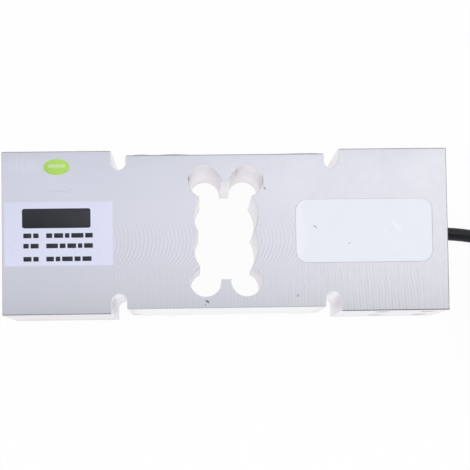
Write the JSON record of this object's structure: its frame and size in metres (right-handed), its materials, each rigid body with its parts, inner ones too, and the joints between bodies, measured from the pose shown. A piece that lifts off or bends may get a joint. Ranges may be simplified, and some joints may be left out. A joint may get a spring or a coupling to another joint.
{
  "type": "single point load cell",
  "caption": "Milled aluminium single point load cell: a bending beam with notched pads, a bored centre cut-out, a potted wiring pocket and a coiled cable with flying leads.",
  "frame": {"origin": "under the middle of the beam, on the surface that its back face lies on", "axes": "+X along the beam towards the cable end, +Y along the load axis, +Z out of the potted face"},
  "size_m": [0.301, 0.114, 0.0501],
  "materials": {
    "aluminium": "milled, with fine cutter marks and broken edges",
    "potting": "white cast compound, satin",
    "gauge_coat": "brushed-on pale sealing coat, uneven",
    "gauge_film": "amber film with metal foil",
    "gauge_wire": "enamelled wire",
    "board": "green glass laminate",
    "resistor": "lacquered",
    "grommet_rubber": "matte black",
    "cable_jacket": "satin black jacket",
    "cable_tie": "black nylon",
    "shrink_sleeve": "black shrink tube",
    "core_red": "red insulation",
    "core_black": "black insulation",
    "core_green": "green insulation",
    "core_white": "white insulation",
    "drain_wire": "tinned copper strands",
    "label_film": "white film with plain dark bars",
    "green_sticker": "yellow-green paper, plain"
  },
  "bodies": {
    "root": {"balance_resistor": "resistor", "board_drain_wire": "drain_wire", "board_lead_black": "core_black", "board_lead_green": "core_green", "board_lead_red": "core_red", "board_lead_white": "core_white", "cable": "cable_jacket", "cable_coil": "cable_jacket", "cable_grommet": "grommet_rubber", "cable_tie_far": "cable_tie", "cable_tie_near": "cable_tie", "data_label": "label_film", "end_drain_wire": "drain_wire", "end_lead_black": "core_black", "end_lead_green": "core_green", "end_lead_red": "core_red", "end_lead_white": "core_white", "end_sleeve": "shrink_sleeve", "gauge_coat_lower": "gauge_coat", "gauge_coat_upper": "gauge_coat", "gauge_leads_lower": "gauge_wire", "gauge_leads_upper": "gauge_wire", "gauge_lower_left": "gauge_film", "gauge_lower_right": "gauge_film", "gauge_upper_left": "gauge_film", "gauge_upper_right": "gauge_film", "pocket_potting": "potting", "span_resistor": "resistor", "spring_body": "aluminium", "terminal_board": "board", "test_sticker": "green_sticker"}
  },
  "joints": []
}
